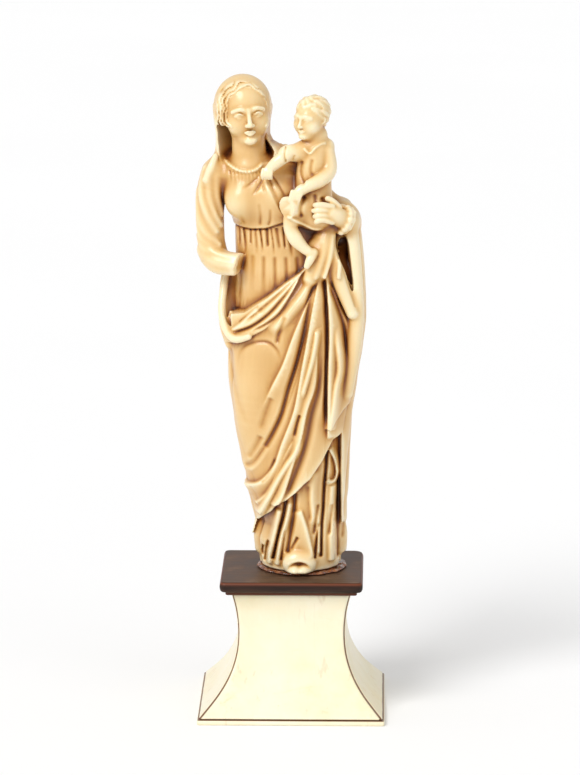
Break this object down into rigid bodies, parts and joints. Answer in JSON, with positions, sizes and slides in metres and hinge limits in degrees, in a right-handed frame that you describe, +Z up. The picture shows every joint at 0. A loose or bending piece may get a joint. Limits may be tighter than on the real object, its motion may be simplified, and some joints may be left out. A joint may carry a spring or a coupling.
{
  "type": "ivory figure group",
  "caption": "Ivory carving of a standing veiled woman holding a small child, on a dark wood board and a concave ivory pedestal.",
  "frame": {"origin": "middle of the pedestal's flat underside, on the surface the group stands on", "axes": "+Z up, -Y towards the viewer of the front, +X to that viewer's right"},
  "size_m": [0.0758, 0.0746, 0.2568],
  "materials": {
    "figure_ivory": "warm honey-coloured old ivory, hand polished, dark brown patina in the recesses",
    "pedestal_ivory": "pale cream ivory plates, satin, with brown seams, stains and fine cracks",
    "dark_wood": "dark brown stained hardwood with a worn waxed sheen",
    "old_glue": "translucent reddish-brown dried glue, shiny and lumpy"
  },
  "bodies": {
    "root": {"figure_group": "figure_ivory", "glue_residue": "old_glue", "wood_board": "dark_wood", "base_panel_front": "pedestal_ivory", "base_panel_right": "pedestal_ivory", "base_panel_back": "pedestal_ivory", "base_panel_left": "pedestal_ivory", "base_foot": "pedestal_ivory"}
  },
  "joints": []
}
